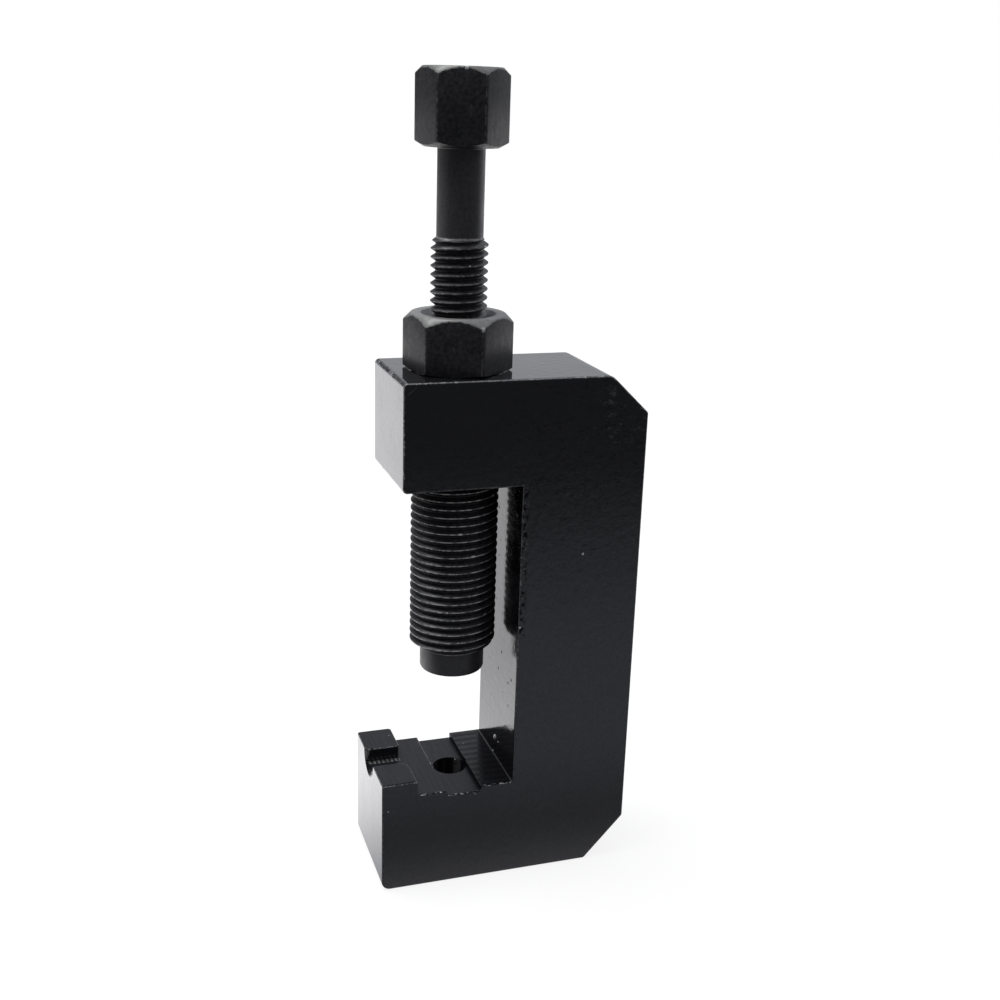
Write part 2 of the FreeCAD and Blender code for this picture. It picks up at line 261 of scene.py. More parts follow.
def head_rings(mesh, screw, low, high):
    """The rings of a hexagon head from its top face to its underside, bevelled at both."""
    radius = hexagon(screw["flats"], screw["turn"])
    top = screw["flats"] / 2.0 - TOP_INSET
    foot = screw["flats"] / 2.0 - screw["foot_inset"]

    def rounded(angle):
        return radius(angle) - HEAD_ROUND * 0.4

    def upper_edge(above):
        return lambda angle: high - (radius(angle) - top) * TOP_SLOPE + HEAD_ROUND * above

    def lower_edge(above):
        return lambda angle: low + (radius(angle) - foot) * screw["foot_slope"] + HEAD_ROUND * above

    return [
        ring(mesh, top - HEAD_ROUND, high),
        ring(mesh, top + HEAD_ROUND / 2.0, high - HEAD_ROUND * 0.6),
        ring(mesh, rounded, upper_edge(0.3)),
        ring(mesh, radius, upper_edge(-0.8)),
        ring(mesh, radius, lower_edge(0.8)),
        ring(mesh, rounded, lower_edge(-0.2)),
        ring(mesh, foot, low),
    ]


# One pitch of the thread: how far along it, and how deep below the crest, as a share of the depth.
THREAD_SHAPE = [
    (0.00, 0.00),
    (0.06, 0.02),
    (0.13, 0.17),
    (0.28, 0.55),
    (0.40, 0.86),
    (0.46, 0.97),
    (0.54, 0.97),
    (0.60, 0.86),
    (0.72, 0.55),
    (0.87, 0.17),
    (0.94, 0.02),
]


def thread_band(mesh, upper, lower, screw, limit):
    """A right-hand thread between two rings. limit(height) gives the most that a radius may be there."""
    low = lower[0].co.z
    high = upper[0].co.z
    touching = 1e-7
    rows = len(THREAD_SHAPE)
    start = screw["crest"] + PITCH * (math.floor((low - screw["crest"]) / PITCH) - 1)
    turns = int((high - start) / PITCH) + 2
    made = {}

    def vertex(column, row):
        if column == COLUMNS:
            column, row = 0, row + rows
        turn, step = divmod(row, rows)
        along, below = THREAD_SHAPE[step]
        height = start + PITCH * (turn + along + column / COLUMNS)
        if height <= low + touching:
            return lower[column]
        if height >= high - touching:
            return upper[column]
        if (column, row) not in made:
            out = min(screw["thread"] - THREAD_DEPTH * below, limit(height))
            angle = angle_of(column)
            made[column, row] = mesh.verts.new((out * math.cos(angle), out * math.sin(angle), height))
        return made[column, row]

    for column in range(COLUMNS):
        for row in range(turns * rows):
            face_between(mesh, [
                vertex(column, row + 1),
                vertex(column, row),
                vertex(column + 1, row),
                vertex(column + 1, row + 1),
            ])


def finish_mesh(mesh, name, sharp_degrees=32.0):
    """Turn the built mesh into an object with smooth faces and sharp edges where it turns."""
    bmesh.ops.recalc_face_normals(mesh, faces=mesh.faces)
    data = bpy.data.meshes.new(name)
    mesh.to_mesh(data)
    mesh.free()
    for polygon in data.polygons:
        polygon.use_smooth = True
    data.set_sharp_from_angle(angle=math.radians(sharp_degrees))
    return new_object(name, data)


def make_main_screw():
    """The hollow screw, with its real thread, countersink, stepped bore and plain nose."""
    low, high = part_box("main_screw")
    tip = low.z
    mouth = high.z
    seat = mouth - MAIN["head"]
    mesh = bmesh.new()
    head = head_rings(mesh, MAIN, seat, mouth)
    floor = tip + MAIN["nose_wall"]
    step = floor + MAIN["chamber_length"]
    inner = [
        ring(mesh, MAIN["countersink"] + RIM_ROUND, mouth),
        ring(mesh, MAIN["countersink"] - RIM_ROUND * 0.5, mouth - RIM_ROUND * 0.6),
        ring(mesh, MAIN["bore"], mouth - (MAIN["countersink"] - MAIN["bore"])),
        ring(mesh, MAIN["bore"], step),
        ring(mesh, MAIN["chamber"], step),
        ring(mesh, MAIN["chamber"], floor),
        ring(mesh, MAIN["pin_bore"], floor),
        ring(mesh, MAIN["pin_bore"], tip),
    ]
    bevel = MAIN["nose_bevel"]
    nose_top = tip + MAIN["nose_length"]
    nose = [
        ring(mesh, MAIN["nose"], nose_top),
        ring(mesh, MAIN["nose"], tip + bevel),
        ring(mesh, MAIN["nose"] - bevel * 0.3, tip + bevel * 0.3),
        ring(mesh, MAIN["nose"] - bevel, tip),
    ]
    under = ring(mesh, MAIN["thread"] - CREST_RELIEF, seat)
    bridge(mesh, list(reversed(inner)) + head + [under])

    def limit(height):
        above = max(height - nose_top, 0.0)
        return MAIN["nose"] + above * MAIN["nose_run_out"]

    thread_band(mesh, under, nose[0], MAIN, limit)
    bridge(mesh, nose + [inner[-1]])
    return finish_mesh(mesh, "main_screw_threaded")


def make_push_screw():
    """The inner screw: hexagon, neck at the root diameter, thread and plain tip."""
    low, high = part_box("push_screw")
    seat = high.z - PUSH["head"]
    neck_end = seat - PUSH["neck_length"]
    mesh = bmesh.new()
    head = head_rings(mesh, PUSH, seat, high.z)
    crown = ring(mesh, PUSH["flats"] / 4.0, high.z)
    centre = mesh.verts.new((0.0, 0.0, high.z))
    neck = [
        ring(mesh, PUSH["neck"] + PUSH["neck_round"], seat),
        ring(mesh, PUSH["neck"], seat - PUSH["neck_round"]),
        ring(mesh, PUSH["neck"], neck_end),
    ]
    bridge(mesh, [crown] + head + neck)
    tip_top = low.z + PUSH["tip_length"]
    end = [
        ring(mesh, PUSH["tip"], tip_top),
        ring(mesh, PUSH["tip"], low.z + PUSH["tip_bevel"]),
        ring(mesh, PUSH["tip"] - PUSH["tip_bevel"], low.z),
    ]
    bridge(mesh, end)
    last = mesh.verts.new((0.0, 0.0, low.z))
    for column in range(COLUMNS):
        beside = (column + 1) % COLUMNS
        mesh.faces.new([centre, crown[column], crown[beside]])
        mesh.faces.new([last, end[-1][beside], end[-1][column]])

    def limit(height):
        by_tip = PUSH["tip"] + (height - tip_top)
        by_neck = PUSH["neck"] + (neck_end - height) * PUSH["neck_run_out"]
        return min(by_tip, by_neck)

    thread_band(mesh, neck[-1], end[0], PUSH, limit)
    return finish_mesh(mesh, "push_screw_threaded")


def make_nibs():
    """Three small beads that stand on the painted face of the spine."""
    mesh = bmesh.new()
    sunk = 0.02 * MM  # the beads' middles lie this far inside the face
    for deep, up, radius in BEADS:
        place = Matrix.Translation((FRAME["spine_face"] + sunk, deep, up)) @ Matrix.Diagonal(BEAD_SHAPE)
        bmesh.ops.create_uvsphere(mesh, u_segments=20, v_segments=12, radius=radius, matrix=place)
    return finish_mesh(mesh, "paint_nibs", 60.0)


def make_spring():
    """A round-wire coil whose end turns lie flat against the floor and the collar."""
    low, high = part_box("return_spring")
    middle = max(high.x, -low.x) - SPRING_WIRE
    count = int(SPRING_TURNS * SPRING_STEPS)
    bottom = low.z + SPRING_WIRE
    top = high.z - SPRING_WIRE
    mesh = bmesh.new()

    def rise(share):
        flat = SPRING_END_TURN / SPRING_TURNS
        inside = min(max((share - flat) / (1.0 - 2.0 * flat), 0.0), 1.0)
        ends = SPRING_WIRE * 2.0 * SPRING_END_TURN
        lower = min(share / flat, 1.0) * ends
        upper = max((share - 1.0 + flat) / flat, 0.0) * ends
        return bottom + lower + upper + inside * (top - bottom - 2.0 * ends)

    def section(share):
        angle = 2.0 * math.pi * SPRING_TURNS * share
        outward = Vector((math.cos(angle), math.sin(angle), 0.0))
        place = outward * middle + Vector((0.0, 0.0, rise(share)))
        around = []
        for side in range(WIRE_SIDES):
            turn = 2.0 * math.pi * side / WIRE_SIDES
            aside = outward * (SPRING_WIRE * math.cos(turn))
            above = Vector((0.0, 0.0, SPRING_WIRE * math.sin(turn)))
            around.append(mesh.verts.new(place + aside + above))
        return around

    sections = [section(step / count) for step in range(count + 1)]
    for first, second in zip(sections, sections[1:]):
        for side in range(WIRE_SIDES):
            beside = (side + 1) % WIRE_SIDES
            mesh.faces.new([first[side], second[side], second[beside], first[beside]])
    mesh.faces.new(sections[0])
    mesh.faces.new(list(reversed(sections[-1])))
    return finish_mesh(mesh, "return_spring_coil", 60.0)


# Building blocks of the materials. A share is a number from 0 to 1: how much of something there is.

def material(name):
    """A new node material, its node tree and its shader."""
    made = bpy.data.materials.new(name)
    made.use_nodes = True
    return made, made.node_tree, made.node_tree.nodes["Principled BSDF"]


def feed(tree, socket, value):
    """Set an input to a number or a colour, or link it to an output."""
    if isinstance(value, tuple):
        socket.default_value = (*value, 1.0)
    elif isinstance(value, (int, float)):
        socket.default_value = value
    else:
        tree.links.new(value, socket)


def maths(tree, operation, first, second=None):
    """The output of a Math node on sockets or numbers."""
    made = tree.nodes.new("ShaderNodeMath")
    made.operation = operation
    feed(tree, made.inputs[0], first)
    if second is not None:
        feed(tree, made.inputs[1], second)
    return made.outputs[0]


def span(tree, value, low, high, start=0.0, end=1.0):
    """The value's place between low and high, smoothed and clamped, as a number from start to end."""
    made = tree.nodes.new("ShaderNodeMapRange")
    made.interpolation_type = "SMOOTHSTEP"
    tree.links.new(value, made.inputs["Value"])
    made.inputs["From Min"].default_value = low
    made.inputs["From Max"].default_value = high
    made.inputs["To Min"].default_value = start
    made.inputs["To Max"].default_value = end
    return made.outputs["Result"]


# Where a point of the surface lies, as one socket and as three, and which way the surface faces there.
Surface = namedtuple("Surface", "place across deep up toward_x toward_y toward_z")


def surface_of(tree):
    """The sockets of a Surface, in the part's own metres and frame."""
    held = tree.nodes.new("ShaderNodeTexCoord")
    where = tree.nodes.new("ShaderNodeSeparateXYZ")
    tree.links.new(held.outputs["Object"], where.inputs[0])
    toward = tree.nodes.new("ShaderNodeSeparateXYZ")
    tree.links.new(held.outputs["Normal"], toward.inputs[0])
    return Surface(held.outputs["Object"], *where.outputs, *toward.outputs)


def noise(tree, place, scale, detail=4.0, roughness=0.55, stretch=None):
    """A noise texture, its coordinates stretched where three factors are given."""
    if stretch:
        mapping = tree.nodes.new("ShaderNodeMapping")
        mapping.inputs["Scale"].default_value = stretch
        tree.links.new(place, mapping.inputs["Vector"])
        place = mapping.outputs[0]
    made = tree.nodes.new("ShaderNodeTexNoise")
    made.inputs["Scale"].default_value = scale
    made.inputs["Detail"].default_value = detail
    made.inputs["Roughness"].default_value = roughness
    tree.links.new(place, made.inputs["Vector"])
    return made.outputs["Fac"]


def bump(tree, height, depth, under=None):
    """A bump of this real depth in metres, on top of another bump where one is given."""
    made = tree.nodes.new("ShaderNodeBump")
    made.inputs["Strength"].default_value = 1.0
    made.inputs["Distance"].default_value = depth
    tree.links.new(height, made.inputs["Height"])
    if under is not None:
        tree.links.new(under, made.inputs["Normal"])
    return made.outputs[0]


def colours(tree, share, first, second):
    """A mix of two colours by a share."""
    made = tree.nodes.new("ShaderNodeMix")
    made.data_type = "RGBA"
    tree.links.new(share, made.inputs["Factor"])
    feed(tree, made.inputs[6], first)
    feed(tree, made.inputs[7], second)
    return made.outputs[2]


def blend(tree, share, first, second):
    """A number that goes from first to second with the share."""
    made = tree.nodes.new("ShaderNodeMix")
    tree.links.new(share, made.inputs[0])
    feed(tree, made.inputs[2], first)
    feed(tree, made.inputs[3], second)
    return made.outputs[0]


def total(tree, *values):
    """The sum of several values."""
    summed = values[0]
    for value in values[1:]:
        summed = maths(tree, "ADD", summed, value)
    return summed


def both(tree, *shares):
    """The product of several shares."""
    product = shares[0]
    for share in shares[1:]:
        product = maths(tree, "MULTIPLY", product, share)
    return product


def either(tree, *shares):
    """The largest of several shares."""
    largest = shares[0]
    for share in shares[1:]:
        largest = maths(tree, "MAXIMUM", largest, share)
    return largest


def distance(tree, first, second):
    """The length of a vector with these two parts."""
    return maths(tree, "SQRT", total(tree, both(tree, first, first), both(tree, second, second)))


def band(tree, value, low, high, soft):
    """One where the value lies from low to high, falling to nothing over the soft width beside it."""
    return both(tree, span(tree, value, low - soft, low), span(tree, value, high, high + soft, 1.0, 0.0))


def spot(tree, first, second, mark):
    """A round spot in the plane of two coordinates. The mark is its place there and its radius."""
    aside = maths(tree, "SUBTRACT", first, mark[0])
    along = maths(tree, "SUBTRACT", second, mark[1])
    return span(tree, distance(tree, aside, along), mark[2] * 0.6, mark[2], 1.0, 0.0)


def waves(tree, value, length):
    """A sine of the value with this wavelength, from 0 to 1."""
    turned = maths(tree, "MULTIPLY", value, 2.0 * math.pi / length)
    return maths(tree, "ADD", maths(tree, "MULTIPLY", maths(tree, "SINE", turned), 0.5), 0.5)


def specks(tree, place, scale, kept, radius):
    """Small round specks, one in some of the cells of a grid of this scale."""
    cells = tree.nodes.new("ShaderNodeTexVoronoi")
    cells.inputs["Scale"].default_value = scale
    tree.links.new(place, cells.inputs["Vector"])
    chance = tree.nodes.new("ShaderNodeSeparateColor")
    tree.links.new(cells.outputs["Color"], chance.inputs[0])
    size = span(tree, chance.outputs[1], 0.0, 1.0, radius * 0.4, radius)
    near = maths(tree, "LESS_THAN", cells.outputs["Distance"], maths(tree, "MULTIPLY", size, scale))
    return both(tree, near, maths(tree, "LESS_THAN", chance.outputs[0], kept))


# The frame's coating

# Faces that differ in finish: those towards the open end, the near side, the milled seat with its ledge and
# its riser, the flared mouth of the slot, and the spine's face in the throat.
Zones = namedtuple("Zones", "front side seat ledge riser flare throat")


def frame_zones(tree, here):
    """The Zones of the frame, each as a share."""
    front = span(tree, here.toward_x, -0.5, -0.8)
    level = span(tree, here.toward_z, 0.5, 0.8)
    low = span(tree, here.up, FRAME["pad_top"] + 0.4 * MM, FRAME["pad_top"] + 0.7 * MM, 1.0, 0.0)
    seat = both(tree, level, low)
    ledge_front = FRAME["ledge_front"]
    jaw_front = FRAME["jaw_front"]
    spine = FRAME["spine_face"]
    return Zones(
        front=front,
        side=span(tree, here.toward_y, -0.5, -0.8),
        seat=seat,
        ledge=both(tree, seat, span(tree, here.across, ledge_front - 0.1 * MM, ledge_front + 0.2 * MM)),
        riser=both(tree, front, low,
                   band(tree, here.across, ledge_front - 0.6 * MM, ledge_front + 0.5 * MM, 0.3 * MM)),
        flare=both(tree, low,
                   span(tree, here.across, jaw_front + 1.8 * MM, jaw_front + 1.4 * MM),
                   band(tree, here.toward_y, -0.85, -0.20, 0.1)),
        throat=both(tree, front, band(tree, here.across, spine - 0.3 * MM, spine + 0.3 * MM, 0.3 * MM)),
    )


def edge_wear_and_highlights(tree, here, zones, ragged):
    """Where edges are worn pale or carry painted glints, where they carry grey painted highlights or frayed
    paint, and where the gloss is chipped away.
    """
    # Edges are known by their rounds, which face between the directions of the flat faces beside them:
    # rim along the two sides, arris between front and top.
    rim = both(tree, here.toward_y, here.toward_y)
    rim = maths(tree, "MULTIPLY", both(tree, rim, maths(tree, "SUBTRACT", 1.0, rim)), 4.0)
    arris = both(tree, here.toward_x, here.toward_x, here.toward_z, here.toward_z,
                 span(tree, here.across, 0.0, 2.0 * MM, 4.0, 0.0))
    edge = either(tree, rim, arris)
    chipped = noise(tree, here.place, 1200.0, 4.0, 0.7)
    stretches = noise(tree, here.place, 190.0, 3.0)
    stretch = span(tree, stretches, 0.42, 0.60, 0.25, 1.0)

    worn = both(tree, edge, span(tree, ragged, 0.50, 0.62), stretch,
                band(tree, here.up, 40.0 * MM, 99.0 * MM, 12.0 * MM))
    seat_rim = both(tree, zones.seat,
                    span(tree, here.deep, 0.65 * MM - FRAME["half_width"], 0.4 * MM - FRAME["half_width"]))
    glints = both(tree, seat_rim, span(tree, ragged, 0.53, 0.58), span(tree, here.up, 21.0 * MM, 20.5 * MM))
    pale = either(tree, worn, glints)

    # Painted highlights: grey streaks along the rounds of the top edge and of the jaw's upright front edge.
    highlighted_edges = either(tree,
                   span(tree, here.up, FRAME["top"] - 1.5 * MM, FRAME["top"] - 1.0 * MM, 0.45, 1.0),
                   span(tree, here.across, FRAME["jaw_front"] + 0.5 * MM, FRAME["jaw_front"] + 0.4 * MM))
    highlight_line = both(tree, span(tree, rim, 0.60, 0.95), span(tree, ragged, 0.36, 0.50, 0.35, 1.0), highlighted_edges)
    # Painted highlights along the rounded top edges of the pads.
    pad_rim_highlight = both(tree,
                   band(tree, here.up, FRAME["pad_top"] - 0.35 * MM, FRAME["pad_top"] + 0.1 * MM, 0.1 * MM),
                   band(tree, here.toward_z, 0.3, 0.85, 0.1),
                   span(tree, ragged, 0.42, 0.54, 0.1, 0.9))
    # The side is frayed along its edge at the throat, beside the screw.
    fringe = both(tree, zones.side,
                  span(tree, here.across, FRAME["spine_face"] + 1.6 * MM, FRAME["spine_face"] + 0.7 * MM),
                  band(tree, here.up, *FRAYED, 2.0 * MM))
    frayed = both(tree, fringe, band(tree, chipped, 0.45, 0.48, 0.01),
                  span(tree, ragged, 0.47, 0.55, 0.0, 0.7))
    grey = either(tree, highlight_line, pad_rim_highlight, frayed)

    torn = either(tree,
                  both(tree, span(tree, edge, 0.05, 0.4), span(tree, chipped, 0.54, 0.60), stretch),
                  both(tree, span(tree, arris, 0.05, 0.3), span(tree, chipped, 0.51, 0.55),
                       span(tree, stretches, 0.38, 0.50)),
                  both(tree, seat_rim, span(tree, chipped, 0.38, 0.46)),
                  both(tree, fringe, span(tree, chipped, 0.51, 0.56)))
    return pale, grey, torn


def seat_marks_and_step_highlight(tree, here, zones, ragged):
    """Grey lines at the spine's foot and, as a painted highlight, at the platform's step, and chatter marks
    beside the far pad.
    """
    spine = FRAME["spine_face"]
    ledge = FRAME["ledge"]
    platform = FRAME["platform"]
    step_at = FRAME["saddle_front"]
    far = FRAME["slot_far"]
    pad_back = FRAME["pad_back"]
    root = maths(tree, "MULTIPLY", 0.5, either(
        tree,
        both(tree, zones.ledge, span(tree, here.across, spine - 0.25 * MM, spine - 0.1 * MM)),
        both(tree, zones.throat, span(tree, here.up, ledge + 0.2 * MM, ledge + 0.1 * MM)),
    ))
    # A painted highlight along the edge of the platform's step.
    step = both(tree, zones.seat,
                span(tree, here.up, platform - 0.3 * MM, platform - 0.2 * MM),
                span(tree, here.up, platform + 0.2 * MM, platform + 0.15 * MM),
                band(tree, here.across, step_at - 0.2 * MM, step_at - 0.05 * MM, 0.05 * MM),
                span(tree, ragged, 0.40, 0.60, 0.2, 0.9),
                span(tree, here.deep, -1.0 * MM, 1.0 * MM, 0.1, 0.8))
    slot_floor = both(tree, zones.seat, band(tree, here.deep, far - 1.15 * MM, far + 0.05 * MM, 0.1 * MM),
                      span(tree, here.across, pad_back + 0.1 * MM, pad_back - 0.1 * MM))
    chatter = both(tree, slot_floor, waves(tree, here.across, CHATTER_PITCH),
                   span(tree, ragged, 0.40, 0.55, 0.3, 1.0))
    return either(tree, root, step, chatter)


def side_marks(tree, here, side):
    """A scratch and scuffs on the near side, and shallow pocks in its gloss."""
    diagonal = maths(tree, "SUBTRACT", here.up, maths(tree, "MULTIPLY", here.across, SCRATCH_SLOPE))
    scratch = both(tree, side, band(tree, here.across, *SCRATCH_ENDS, 0.2 * MM),
                   band(tree, diagonal, SCRATCH_HEIGHT - 0.05 * MM, SCRATCH_HEIGHT + 0.05 * MM, 0.06 * MM))
    scuff_marks = noise(tree, here.place, 1500.0, 5.0, 0.75, (0.5, 1.0, 0.8))
    scuffs = both(tree, side, spot(tree, here.across, here.up, SCUFFED),
                  span(tree, scuff_marks, 0.55, 0.66, 0.0, 0.5))
    pock_marks = noise(tree, here.place, 1300.0, 4.0, 0.7, (0.6, 1.0, 1.0))
    pocks = both(tree, side, span(tree, pock_marks, 0.56, 0.64),
                 span(tree, here.across, 0.0, 14.0 * MM, 0.1, 1.0),
                 span(tree, here.up, 40.0 * MM, 75.0 * MM, 0.0, 0.4))
    return either(tree, scuffs, maths(tree, "MULTIPLY", scratch, 0.4)), pocks


def make_paint():
    """Gloss black coating on the frame, worn along the edges and painted with highlights there, with the
    chain seat left satin.
    """
    made, tree, shader = material("gloss_black_paint")
    link = tree.links.new
    here = surface_of(tree)
    zones = frame_zones(tree, here)
    seat, ledge, throat = zones.seat, zones.ledge, zones.throat
    ragged = noise(tree, here.place, 1500.0, 5.0, 0.7)
    pale_edges, grey_edges, torn = edge_wear_and_highlights(tree, here, zones, ragged)
    scrapes, pocks = side_marks(tree, here, zones.side)

    dust = specks(tree, here.place, 250.0, 0.50, 0.17 * MM)
    pits = either(tree,
                  both(tree, specks(tree, here.place, 500.0, 0.60, 0.38 * MM), throat),
                  both(tree, specks(tree, here.place, 600.0, 0.35, 0.20 * MM), zones.front))
    nibs = [both(tree, spot(tree, here.across, here.up, mark), zones.side) for mark in SIDE_NIBS]
    nib = either(tree, *nibs, both(tree, spot(tree, here.across, here.deep, SEAT_NICK), seat))

    # Pale: worn edges and dust, with painted glints along the seat's near edge.
    pale = either(tree, pale_edges, maths(tree, "MULTIPLY", dust, 0.6))
    # Grey: painted highlights along the top and jaw edges, the pads' tops and the platform's step, besides
    # the spine's foot, frayed paint, chatter, a scratch and scuffs.
    grey = either(tree, grey_edges, seat_marks_and_step_highlight(tree, here, zones, ragged), scrapes)
    tone = colours(tree, grey, COATING, COATING_GREY)
    tone = colours(tree, maths(tree, "MULTIPLY", pale, 0.7), tone, COATING_PALE)
    link(colours(tree, nib, tone, COATING_NIB), shader.inputs["Base Color"])

    # The clear gloss lies over the coating and is missing where it is milled, chipped or marked, and under
    # the painted highlights.
    dull = either(tree, seat, zones.riser, zones.flare, torn, pale, grey, nib, pits, pocks)
    grain = noise(tree, here.place, 2400.0, 3.0, 0.7)
    gloss = both(tree, blend(tree, throat, 1.0, 0.76), span(tree, grain, 0.3, 0.6, 0.88, 1.0))
    patches = noise(tree, here.place, 140.0, 3.0)
    shader.inputs["IOR"].default_value = 1.5
    shader.inputs["Coat IOR"].default_value = 1.5
    link(blend(tree, dull, gloss, 0.0), shader.inputs["Coat Weight"])
    coat_rough = span(tree, patches, 0.3, 0.7, 0.05, 0.10)
    link(blend(tree, throat, coat_rough, 0.09), shader.inputs["Coat Roughness"])

    # The cutter left scallops on the ledge. Their sheen is lowered as painted shade where the spine shades
    # them.
    milling = noise(tree, here.place, 2600.0, 5.0, 0.65, (1.0, 0.05, 1.0))
    cutter = waves(tree, here.deep, CUTTER_PITCH)
    reach = maths(tree, "SUBTRACT", here.across, maths(tree, "MULTIPLY", here.deep, 0.27))
    reach = maths(tree, "ADD", reach, maths(tree, "MULTIPLY", cutter, 0.9 * MM))
    shaded = span(tree, reach, 6.5 * MM, 6.9 * MM, 1.0, 0.25)
    scallops = both(tree, span(tree, cutter, 0.2, 0.8, 0.15, 0.38), shaded)
    sheen = blend(tree, seat, 0.5, blend(tree, ledge, 0.29, scallops))
    sheen = blend(tree, throat, sheen, 0.1)
    sheen = both(tree, sheen, span(tree, milling, 0.35, 0.65, 0.8, 1.2))
    dark = either(tree, zones.riser, zones.flare, torn, pits, pocks)
    link(blend(tree, dark, sheen, 0.02), shader.inputs["Specular IOR Level"])
    painted_rough = span(tree, patches, 0.3, 0.7, 0.10, 0.20)
    milled_rough = span(tree, milling, 0.3, 0.7, 0.24, 0.36)
    rough = blend(tree, seat, painted_rough, milled_rough)
    link(blend(tree, either(tree, pale, grey, nib), rough, 0.45), shader.inputs["Roughness"])

    # Orange peel, milling marks, scallops and the marks' own relief.
    peel = noise(tree, here.place, 700.0, 2.0)
    fine = noise(tree, here.place, 2200.0, 3.0, 0.6)
    calm = blend(tree, throat, blend(tree, zones.front, 1.0, 0.5), 0.65)
    relief = bump(tree, both(tree, peel, calm), 0.036 * MM)
    relief = bump(tree, both(tree, fine, calm), 0.009 * MM, under=relief)
    relief = bump(tree, both(tree, milling, seat), 0.006 * MM, under=relief)
    relief = bump(tree, both(tree, cutter, ledge), 0.012 * MM, under=relief)
    relief = bump(tree, either(tree, nib, pits, dust, pale), 0.05 * MM, under=relief)
    link(relief, shader.inputs["Normal"])
    link(relief, shader.inputs["Coat Normal"])
    return made


# The screws, the pin, the spring and the beads

def head_wear_and_highlight(tree, here, out, screw, wear_and_painted_light, ragged):
    """Shares on the hexagon head: all of it, the worn bevel and uprights, a painted highlight just below the
    bevel, a nick.
    """
    corner = screw["flats"] / math.sqrt(3.0)
    radius = screw["thread"]
    middle = screw["head_top"] - screw["head"] / 2.0
    upper = span(tree, here.up, middle - 0.1 * MM, middle + 0.1 * MM)
    head = span(tree, out, radius + 0.2 * MM, radius + 0.3 * MM)
    bevel = both(tree, span(tree, out, wear_and_painted_light["bevel_from"], wear_and_painted_light["bevel_full"]),
                 span(tree, here.toward_z, 0.2, 0.4), span(tree, ragged, 0.3, 0.6, 0.7, 1.0), upper)
    uprights = both(tree, span(tree, out, corner - 0.15 * MM, corner - 0.08 * MM),
                    span(tree, ragged, 0.46, 0.58))

    # Height plus slope times radius is the same all over the bevel, and a little less just below it.
    bevel_line = screw["head_top"] + (screw["flats"] / 2.0 - TOP_INSET) * TOP_SLOPE
    along_bevel = maths(tree, "ADD", here.up, maths(tree, "MULTIPLY", out, TOP_SLOPE))
    # A painted highlight along the edge just below the bevel.
    lip_highlight = both(tree, head, span(tree, ragged, 0.46, 0.56, 0.1, 1.0),
               band(tree, along_bevel, bevel_line - 0.17 * MM, bevel_line - 0.03 * MM, 0.02 * MM))
    nick_across, nick_deep, nick_drop = wear_and_painted_light["nick"]
    nick_foot = screw["head_top"] - nick_drop
    nick = both(tree, spot(tree, here.across, here.deep, (nick_across, nick_deep, NICK_RADIUS)),
                span(tree, here.up, nick_foot - 0.1 * MM, nick_foot))
    return head, either(tree, bevel, uprights), lip_highlight, nick


def thread_wear_and_highlight(tree, here, out, screw, wear_and_painted_light, ragged):
    """Pale crests, worn and painted highlight, in painted shade towards the spine; worn where the thread
    meets the plain end.
    """
    radius = screw["thread"]
    # The crests' pale is partly worn metal and partly painted highlight, faded as painted shade towards the
    # spine.
    crest = both(tree, band(tree, out, radius - 0.014 * MM, radius + 0.02 * MM, 0.014 * MM),
                 span(tree, ragged, 0.44, 0.56, 0.2, 1.0),
                 span(tree, here.across, radius * 0.25, radius * 0.7, 1.0, wear_and_painted_light["shaded_far_share"]))
    end = wear_and_painted_light["plain_end"]
    meeting = both(tree, band(tree, here.up, end - 0.1 * MM, end + 0.12 * MM, 0.06 * MM),
                   span(tree, ragged, 0.40, 0.60, 0.4, 1.0))
    share = either(tree, crest, maths(tree, "MULTIPLY", meeting, 0.8))
    return maths(tree, "MULTIPLY", share, wear_and_painted_light["crest_share"])


